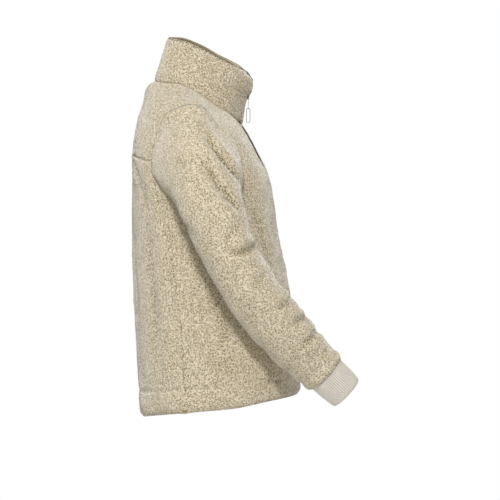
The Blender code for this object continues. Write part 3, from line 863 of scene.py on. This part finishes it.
def creasesOf(name, points, widen=1.0):
    if name.startswith("sleeve"):
        side = sideOf(name)
        along, turn, _ = armPlaces(points, side)
        return creaseDepth(along, turn, crease["sleeveRadius"], sleeveCreases[side], widen)
    if name == "collar":
        return np.zeros(len(points))
    turn, height = bodyPlaces(points)
    total = np.zeros(len(points))
    for side, rows in bodyCreases.items():
        here = (points[:, 0] > 0) if side == "left" else (points[:, 0] <= 0)
        total += np.where(here, creaseDepth(height, turn, crease["bodyRadius"], rows, widen), 0)
    return total * smoothStep(0.010, 0.035, np.abs(points[:, 0]))


def puffs(name, points, away, kinds):
    # where the pile stands up past an edge: beside the collar zip, and over the cuffs
    total = np.zeros(len(points))
    z = points[:, 2]
    offSlider = 1 - np.exp(-((z - puff["sliderZ"]) / puff["sliderReach"]) ** 2)
    beside = smoothStep(*puff["collarZ"], z) * offSlider
    atZip = kinds == "collarFront"
    near = np.exp(-(away / puff["collarReach"]) ** 2)
    total[atZip] = puff["collarHeight"] * (near * beside)[atZip]
    atCuff = kinds == "sleeveEnd"
    bulge = np.exp(-((away - puff["cuffReach"]) / puff["cuffReach"]) ** 2)
    ring = puff["cuffHeight"] * bulge * (1 + puff["cuffUneven"] * drift(points, 0.020, 91))
    total[atCuff] = ring[atCuff]
    return total


def chestDip(name, points):
    # beside the zip, between the collar and the chest, the cloth lies a little lower than the teeth
    if not name.startswith("front"):
        return np.zeros(len(points))
    x, y, z = np.abs(points[:, 0]), points[:, 1], points[:, 2]
    across = smoothStep(*dip["across"][:2], x) * (1 - smoothStep(*dip["across"][2:], x))
    return dip["depth"] * across * smoothStep(*dip["z"], z) * smoothStep(*dip["y"], y)


def fleeceCage(name, levels):
    # the outer wall, carried over its seams and smoothed
    piece = outerSkin(name, name + "_pile")
    numbers, ways = rimDirections(piece)
    cage = pointsOf(piece)
    kinds = edgeKinds(name, cage[numbers])
    grow = np.array([edges[kind]["grow"] for kind in kinds])
    corner = smoothStep(*collarCorner["z"], cage[numbers][:, 2]) * (kinds == "collarFront")
    grow -= corner * collarCorner["back"]
    cage[numbers] += ways * grow[:, None]
    putPoints(piece, cage)
    smooth = piece.modifiers.new("smooth", "SUBSURF")
    smooth.levels = smooth.render_levels = levels
    smooth.boundary_smooth = "PRESERVE_CORNERS"
    applyAll(piece)
    return piece


def addWall(piece, spots):
    # the cloth's thickness, less at its edges, with the plain back on the inside
    rim, _ = nearestSpots(pointsOf(piece), spots)
    walls = piece.vertex_groups.new(name="walls")
    for number, away in enumerate(rim):
        walls.add([number], float(smoothStep(0, 0.016, away)), "REPLACE")
    for finish in (pileFinish, backingFinish):
        piece.data.materials.append(finish)
    wall = piece.modifiers.new("wall", "SOLIDIFY")
    wall.thickness = fleece["wall"]
    wall.offset = -1
    wall.vertex_group = "walls"
    wall.thickness_vertex_group = fleece["edgeShare"]
    wall.material_offset = 1
    wall.use_quality_normals = True
    applyAll(piece)


def cutSkin(name, piece, spots, cuts):
    # cuts the outer face finely, and says which points belong to it
    bm = enterEdit(piece)
    for face in bm.faces:
        face.select = face.material_index == 0
    # the wall's rim has the outer finish too, so only faces that look away from the hollow are cut
    middles = np.array([face.calc_center_median() for face in bm.faces])
    away = unit(middles - heartOf(name, middles))
    reach, _ = nearestSpots(middles, spots)
    for face, out, close in zip(bm.faces, away, reach):
        if face.select and close < fleece["rimReach"]:
            spread = Vector(out).dot(face.normal)
            thin = min(edge.calc_length() for edge in face.edges) < fleece["rimWidth"]
            if thin and spread < 0.55:
                face.select = False
    bmesh.update_edit_mesh(piece.data)
    bpy.ops.mesh.subdivide(number_cuts=cuts, smoothness=1.0)
    bm = bmesh.from_edit_mesh(piece.data)
    chosen = np.array([vert.select for vert in bm.verts])
    leaveEdit()
    return chosen


def foldBack(name, points, inner, normals):
    # the back of the cloth gives way behind a crease
    sunk = creasesOf(name, points[inner], fleece["backWiden"])
    spread = points[inner] - heartOf(name, points[inner])
    inward = np.where((spread * normals[inner]).sum(1) < 0, 1, -1)
    deep = inward * np.maximum(sunk, 0) * fleece["backDepth"]
    points[inner] += normals[inner] * deep[:, None]


def skinMoves(name, skin, away, kinds, folds, seams):
    # how far each point of the outer face moves along its normal, before the curls
    waves = drift(skin, fleece["waveSize"], 5) + 0.5 * drift(skin, fleece["waveSize"] * 0.45, 8)
    swell = drift(skin * (1, 1, 0.6), fleece["swellSize"], 31)
    calm = smoothStep(0.002, 0.02, away)
    moved = (waves * fleece["waveHeight"] + swell * fleece["swellHeight"]) * calm
    moved -= folds
    moved -= seams
    moved -= hemTrough(name, skin)
    moved += hemLumps(name, skin)
    moved += puffs(name, skin, away, kinds)
    if name.startswith("sleeve"):
        along = armPlaces(skin, sideOf(name))[0]
        size = fleece["lumpSize"]
        lumps = drift(skin, size, 51) + 0.6 * drift(skin, size / 2, 52)
        moved += lumps * fleece["lumpHeight"] * smoothStep(*fleece["lumpsFrom"], along) * calm
    return moved


def makeFleece(name, settings):
    piece = fleeceCage(name, settings["levels"])
    spots = rimSpots(piece)
    spotKinds = edgeKinds(name, spots)
    addWall(piece, spots)
    chosen = cutSkin(name, piece, spots, settings["cuts"])

    points = pointsOf(piece)
    points[:, 1] += chestDip(name, points)
    putPoints(piece, points)
    outer, inner = np.where(chosen)[0], np.where(~chosen)[0]
    skin = points[outer]
    away, nearest = nearestSpots(skin, spots)
    kinds = spotKinds[nearest]
    depth = np.array([edges[kind]["depth"] for kind in spotKinds])[nearest]
    reach = np.array([edges[kind]["reach"] for kind in spotKinds])[nearest]
    seamShare = 1 - smoothStep(0, 1, away / reach)
    upper = smoothStep(-0.150, -0.115, skin[:, 2])
    seamShare *= np.where(kinds == "zip", 0.35 + 0.65 * upper, 1)

    pick(piece)
    bpy.ops.object.shade_smooth()
    normals = normalsOf(piece)
    foldBack(name, points, inner, normals)
    folds = creasesOf(name, skin) * smoothStep(0.0, 0.012, away)
    moved = skinMoves(name, skin, away, kinds, folds, depth * seamShare)
    size = fleece["curlSize"]
    heights = 0.70 * curls(skin, size, 3) + 0.30 * curls(skin, size * 0.55, 23)
    moved += (heights - 0.25) * fleece["curlHeight"] * (0.60 + 0.40 * smoothStep(0, 0.006, away))
    points[outer] = skin + normals[outer] * moved[:, None]
    putPoints(piece, points)

    values = np.full(len(points), 0.5)
    values[outer] = heights * (0.70 + 0.30 * smoothStep(0, 0.005, away))
    putValues(piece, "pileHeight", values)
    # painted shade for the crease troughs and the seam troughs, which darkens the pile's colour there
    creaseShades = np.zeros(len(points))
    seamShade = 0.5 * np.clip(seamShare * 1.6 - 0.6, 0, 1) * (depth > 0)
    creaseShades[outer] = np.clip(folds / 0.009, 0, 1) + seamShade
    putValues(piece, "parting", creaseShades)
    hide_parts(name)
    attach(piece, "jacket")
    print("made", piece.name, trianglesOf(piece), "triangles")


for fleeceName, fleeceSettings in fleecePieces.items():
    makeFleece(fleeceName, fleeceSettings)


cuff = {
    "ribs": 56,
    "columnsPerRib": 6,
    "rows": 26,
    "wall": 0.0026,
    "ribHeight": 0.0011,
    "swell": 0.0010,
    "uneven": 0.0006,
    "edgeDip": 0.0008,
    "edgeShare": 0.05,
    "flat": (0.245, 0.066),
}


def cuffForm(points, along, end, axis, across, other, low, high):
    # the solid's own outer radius by turn, and its middle, at each end
    flat = points - end - along[:, None] * axis
    sides = np.stack([flat @ across, flat @ other], 1)
    ends = []
    for near in (low, high):
        here = sides[np.abs(along - near) < 0.004]
        centre = (here.max(0) + here.min(0)) / 2
        spread = here - centre
        angle = np.arctan2(spread[:, 1], spread[:, 0])
        size = np.hypot(spread[:, 0], spread[:, 1])
        bins = np.linspace(-np.pi, np.pi, 25)
        top = np.array([size[(angle >= a) & (angle <= b)].max(initial=0)
                        for a, b in zip(bins[:-1], bins[1:])])
        top[top == 0] = top[top > 0].mean()
        ends.append((centre, (bins[:-1] + bins[1:]) / 2, top))

    def rowRadius(turn, share):
        first = np.interp(turn, ends[0][1], ends[0][2], period=2 * np.pi)
        last = np.interp(turn, ends[1][1], ends[1][2], period=2 * np.pi)
        return first + (last - first) * share

    def rowMiddle(share):
        centre = ends[0][0] + (ends[1][0] - ends[0][0]) * share[:, None]
        place = low + (high - low) * share
        return end + place[:, None] * axis + centre[:, :1] * across + centre[:, 1:] * other

    return rowRadius, rowMiddle


def makeCuff(side):
    name = "cuff_" + side
    points = pointsOf(cadNodes[name])
    ends = np.array(arms[side][-2:]) / 1000
    if side == "right":
        ends[:, 0] *= -1
    end = ends[1]
    axis = unit(ends[1] - ends[0])
    along = (points - end) @ axis
    low, high = along.min(), along.max()
    across = unit(np.cross(axis, (1, 0, 0)))
    other = np.cross(axis, across)
    deselectAll()
    bpy.ops.mesh.primitive_cylinder_add(vertices=cuff["ribs"] * cuff["columnsPerRib"], radius=1, depth=1,
                                        end_fill_type="NOTHING")
    piece = bpy.context.object
    piece.name = piece.data.name = name + "_ribs"
    bm = enterEdit(piece)
    bpy.ops.mesh.select_mode(type="EDGE")
    for edge in bm.edges:
        a, b = edge.verts
        edge.select = abs(a.co.z - b.co.z) > 0.5
    bmesh.update_edit_mesh(piece.data)
    bpy.ops.mesh.subdivide(number_cuts=cuff["rows"])
    leaveEdit()
    plain = pointsOf(piece)
    turn = np.arctan2(plain[:, 1], plain[:, 0])
    share = plain[:, 2] + 0.5
    rowRadius, rowMiddle = cuffForm(points, along, end, axis, across, other, low, high)
    ribHeight = (0.5 + 0.5 * np.cos(turn * cuff["ribs"])) ** 0.7
    ring = np.stack([np.cos(turn) * 0.04, np.sin(turn) * 0.04, share * 0.06], 1)
    swell = cuff["swell"] * np.sin(np.pi * np.clip(share, 0, 1))
    swell = swell + cuff["uneven"] * drift(ring, 0.014, 41)
    firstDip = cuff["edgeDip"] * (1 - smoothStep(0, cuff["edgeShare"], share))
    lastDip = cuff["edgeDip"] * (1 - smoothStep(0, cuff["edgeShare"], 1 - share))
    radius = rowRadius(turn, share) + swell + (ribHeight - 1) * cuff["ribHeight"]
    radius = radius - (firstDip + lastDip)
    middle = rowMiddle(share)
    placed = middle + (np.cos(turn)[:, None] * across + np.sin(turn)[:, None] * other) * radius[:, None]
    putPoints(piece, placed)
    enterEdit(piece)
    bpy.ops.mesh.select_all(action="SELECT")
    bpy.ops.mesh.normals_make_consistent(inside=False)
    leaveEdit()
    if ((placed - middle) * normalsOf(piece)).sum() < 0:
        enterEdit(piece)
        bpy.ops.mesh.select_all(action="SELECT")
        bpy.ops.mesh.flip_normals()
        leaveEdit()
    putValues(piece, "ribHeight", ribHeight)
    piece.data.materials.append(ribFinish)
    wall = piece.modifiers.new("wall", "SOLIDIFY")
    wall.thickness = cuff["wall"]
    wall.offset = -1
    applyAll(piece)
    bpy.ops.object.shade_smooth()
    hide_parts(name)
    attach(piece, "jacket")
    print("made", piece.name, trianglesOf(piece), "triangles")


for cuffSide in ("left", "right"):
    makeCuff(cuffSide)


smoothCopies = {
    # node: new name, finish, levels, cut width and length, area, how it is held
    "collar_facing": ("collar_facing_cloth", facingFinish, 2, (0.54, 0.10), 0.042, "facing"),
    "zip_tape_left": ("zip_tape_left_woven", tapeFinish, 1, (0.020, 0.70), 0.014, "zip_tape"),
    "zip_tape_right": ("zip_tape_right_woven", tapeFinish, 1, (0.020, 0.70), 0.014, "zip_tape"),
}


def makeSmoothCopy(nodeName):
    name, finish, levels, flat, area, slot = smoothCopies[nodeName]
    piece = mergedCopy(nodeName, name)
    enterEdit(piece)
    bpy.ops.mesh.select_all(action="SELECT")
    joinTriangles(70)
    leaveEdit()
    bm = bmesh.new()
    bm.from_mesh(piece.data)
    layer = bm.edges.layers.float.new("crease_edge")
    for edge in bm.edges:
        if len(edge.link_faces) == 2 and edge.calc_face_angle(0) > math.radians(50):
            edge[layer] = 0.9
    bm.to_mesh(piece.data)
    bm.free()
    smooth = piece.modifiers.new("smooth", "SUBSURF")
    smooth.levels = smooth.render_levels = levels
    applyAll(piece)
    if nodeName == "collar_facing":
        points = pointsOf(piece)
        points += normalsOf(piece) * (drift(points, 0.018, 61) * 0.00025)[:, None]
        putPoints(piece, points)
    piece.data.materials.append(finish)
    pick(piece)
    bpy.ops.object.shade_smooth_by_angle(angle=math.radians(50))
    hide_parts(nodeName)
    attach(piece, "jacket")
    print("made", name, trianglesOf(piece), "triangles")


for smoothName in smoothCopies:
    makeSmoothCopy(smoothName)


teeth = {
    "pitch": 0.0028,
    "length": 0.0013,        # along the zip
    "reach": 0.0007,         # past the middle, into the other row
    "onTape": 0.0010,        # back over the tape
    "height": 0.0024,
    "bevel": 0.0003,
    "crown": 0.0026,         # a tooth's width before its reach and its hold on the tape
    "endGap": 0.0030,
}


def teethPath(nodeName):
    # the plain bar's sections, from the hem up: the crown's lower corner, the way to it, and the
    # way out
    piece = mergedCopy(nodeName, nodeName + "_path")
    points = pointsOf(piece)
    bpy.data.objects.remove(piece, do_unlink=True)
    points = points[np.argsort(points[:, 2])]
    gaps = np.diff(points[:, 2])
    rows = np.split(points, np.where(gaps > 0.004)[0] + 1)
    crowns, across, out = [], [], []
    for row in rows:
        if len(row) < 4:
            continue
        order = np.argsort(np.abs(row[:, 0]))
        crown, far = row[order[0]], row[order[-1]]
        others = row[[n for n in range(len(row)) if n not in (order[0], order[-1])]]
        raised = others[np.argmin(others[:, 1])]
        root = far - (raised - crown)
        crowns.append(crown)
        across.append(crown - root)
        out.append(raised - crown)
    return np.array(crowns), unit(np.array(across)), unit(np.array(out))


def makeTeeth(side):
    name = "zip_teeth_" + side
    crowns, across, out = teethPath(name)
    steps = np.concatenate([[0], np.cumsum(np.linalg.norm(np.diff(crowns, axis=0), axis=1))])
    start = teeth["endGap"] + (teeth["pitch"] / 2 if side == "left" else 0)
    at = np.arange(start, steps[-1] - teeth["endGap"], teeth["pitch"])
    crown = np.stack([np.interp(at, steps, crowns[:, k]) for k in range(3)], 1)
    inward = unit(np.stack([np.interp(at, steps, across[:, k]) for k in range(3)], 1))
    raised = unit(np.stack([np.interp(at, steps, out[:, k]) for k in range(3)], 1))
    upward = unit(np.cross(inward, raised))

    # one tooth: a block with its edges taken off and its head a little wider than its root
    deselectAll()
    bpy.ops.mesh.primitive_cube_add(size=1)
    tooth = bpy.context.object
    width = teeth["crown"] + teeth["reach"] + teeth["onTape"]
    tooth.scale = (width, teeth["length"], teeth["height"])
    bpy.ops.object.transform_apply(location=False, rotation=False, scale=True)
    enterEdit(tooth)
    bpy.ops.mesh.select_all(action="SELECT")
    bpy.ops.mesh.bevel(offset=teeth["bevel"], segments=1)
    leaveEdit()
    shape = pointsOf(tooth)
    shape[:, 1] *= 0.82 + 0.34 * smoothStep(-0.1, 0.5, shape[:, 0] / width)
    shape[:, 0] += teeth["reach"] - width / 2
    shape[:, 2] += teeth["height"] / 2
    faces = [tuple(face.vertices) for face in tooth.data.polygons]
    bpy.data.objects.remove(tooth, do_unlink=True)

    points = (crown[:, None] + shape[None, :, :1] * inward[:, None] + shape[None, :, 1:2] * upward[:, None]
              + shape[None, :, 2:] * raised[:, None])
    turned = np.linalg.det(np.stack([inward[0], upward[0], raised[0]])) < 0
    count = len(shape)
    allFaces = [tuple(corner + n * count for corner in (face[::-1] if turned else face))
                for n in range(len(at)) for face in faces]
    mesh = bpy.data.meshes.new(name + "_single")
    mesh.from_pydata(points.reshape(-1, 3).tolist(), [], allFaces)
    piece = bpy.data.objects.new(name + "_single", mesh)
    bpy.context.scene.collection.objects.link(piece)
    piece.data.materials.append(teethFinish)
    pick(piece)
    bpy.ops.object.shade_smooth_by_angle(angle=math.radians(35))
    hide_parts(name)
    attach(piece, "jacket")
    print("made", piece.name, len(at), "teeth,", trianglesOf(piece), "triangles")


for teethSide in ("left", "right"):
    makeTeeth(teethSide)


def roundWire(nodeName, newName, body):
    # the plain wire with its facets smoothed away
    piece = mergedCopy(nodeName, newName)
    enterEdit(piece)
    bpy.ops.mesh.select_all(action="SELECT")
    joinTriangles(80)
    leaveEdit()
    smooth = piece.modifiers.new("smooth", "SUBSURF")
    smooth.levels = smooth.render_levels = 2
    applyAll(piece)
    piece.data.materials.append(steelFinish)
    pick(piece)
    bpy.ops.object.shade_smooth()
    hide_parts(nodeName)
    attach(piece, body)
    print("made", newName, trianglesOf(piece), "triangles")


roundWire("pull_link", "pull_link_wire", "link")
roundWire("pull_ring", "pull_ring_wire", "ring")
cadNodes["zip_slider"].data.materials.clear()
cadNodes["zip_slider"].data.materials.append(sliderFinish)
